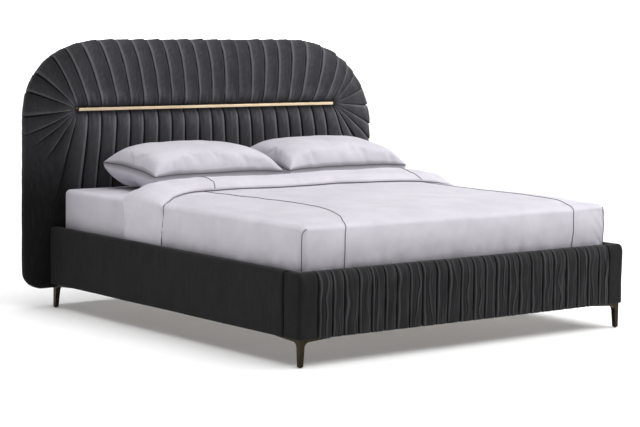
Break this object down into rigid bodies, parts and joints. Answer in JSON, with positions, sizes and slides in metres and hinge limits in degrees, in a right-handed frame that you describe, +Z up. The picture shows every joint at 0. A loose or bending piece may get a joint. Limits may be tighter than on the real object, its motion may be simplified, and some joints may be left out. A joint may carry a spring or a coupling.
{
  "type": "upholstered panel bed",
  "caption": "Pleated velvet bed with an arched headboard, brass trim strip, padded rails on tapered metal legs, a slatted base, mattress, duvet and pillows.",
  "frame": {"origin": "on the floor, under the middle of the bed's overall box", "axes": "+Y towards the headboard, +Z up, +X to the right of someone at the foot who faces the headboard"},
  "size_m": [2.177, 2.082, 1.316],
  "materials": {
    "velvet_headboard": "charcoal velvet, pleated",
    "velvet_rails": "charcoal velvet",
    "lining_cloth": "black non-woven lining",
    "brass_trim": "brushed, satin lacquer",
    "bronze_leg": "dark bronze plated, satin",
    "glide_plastic": "moulded",
    "zinc_steel": "zinc plated",
    "black_steel": "black powder coat, matte",
    "plywood": "raw birch plywood",
    "timber": "planed pine",
    "slat_wood": "lacquered pine",
    "mattress_ticking": "cotton sateen sheet over ticking",
    "bed_linen": "pale lilac-grey cotton sateen",
    "pillow_linen": "pale lilac-grey cotton sateen"
  },
  "bodies": {
    "bed_frame": {"beam_hanger_foot": "black_steel", "beam_hanger_head": "black_steel", "centre_beam": "timber", "centre_leg_foot": "timber", "centre_leg_head": "timber", "corner_bracket_foot_left": "black_steel", "corner_bracket_foot_right": "black_steel", "corner_bracket_head_left": "black_steel", "corner_bracket_head_right": "black_steel", "foot_corner_block_left": "timber", "foot_corner_block_right": "timber", "foot_corner_cover_left": "velvet_rails", "foot_corner_cover_right": "velvet_rails", "foot_rail_board": "plywood", "foot_rail_cover": "velvet_rails", "frame_bolts": "zinc_steel", "head_end_board": "plywood", "headboard_back_panel": "lining_cloth", "headboard_board": "plywood", "headboard_bracket_left": "black_steel", "headboard_bracket_right": "black_steel", "headboard_crossrail_bottom": "timber", "headboard_crossrail_middle": "timber", "headboard_crossrail_top": "timber", "headboard_cushion": "velvet_headboard", "headboard_upright_left": "timber", "headboard_upright_right": "timber", "leg_foot_left": "bronze_leg", "leg_foot_right": "bronze_leg", "leg_glides": "glide_plastic", "leg_head_left": "bronze_leg", "leg_head_right": "bronze_leg", "leg_screws": "zinc_steel", "side_ledge_left": "timber", "side_ledge_right": "timber", "side_rail_board_left": "plywood", "side_rail_board_right": "plywood", "side_rail_cover_left": "velvet_rails", "side_rail_cover_right": "velvet_rails", "slat_01": "slat_wood", "slat_02": "slat_wood", "slat_03": "slat_wood", "slat_04": "slat_wood", "slat_05": "slat_wood", "slat_06": "slat_wood", "slat_07": "slat_wood", "slat_08": "slat_wood", "slat_09": "slat_wood", "slat_10": "slat_wood", "slat_screws": "zinc_steel", "trim_strip": "brass_trim", "trim_studs": "brass_trim"},
    "mattress": {"mattress": "mattress_ticking"},
    "duvet": {"duvet": "bed_linen"},
    "pillow_left": {"pillow_left": "pillow_linen"},
    "pillow_right": {"pillow_right": "pillow_linen"},
    "levelling_foot_foot": {"levelling_foot_foot": "zinc_steel"},
    "levelling_foot_head": {"levelling_foot_head": "zinc_steel"}
  },
  "joints": [
    {"name": "mattress_lift", "type": "slide", "parent": "bed_frame", "child": "mattress", "axis": [0, 0, 1], "range_m": [0, 0.2]},
    {"name": "duvet_lift", "type": "slide", "parent": "mattress", "child": "duvet", "axis": [0, 0, 1], "range_m": [0, 0.3]},
    {"name": "pillow_left_lift", "type": "slide", "parent": "duvet", "child": "pillow_left", "axis": [0, 0, 1], "range_m": [0, 0.25]},
    {"name": "pillow_right_lift", "type": "slide", "parent": "duvet", "child": "pillow_right", "axis": [0, 0, 1], "range_m": [0, 0.25]},
    {"name": "levelling_foot_foot_screw", "type": "slide", "parent": "bed_frame", "child": "levelling_foot_foot", "axis": [0, 0, 1], "range_m": [0, 0.012]},
    {"name": "levelling_foot_head_screw", "type": "slide", "parent": "bed_frame", "child": "levelling_foot_head", "axis": [0, 0, 1], "range_m": [0, 0.012]}
  ]
}
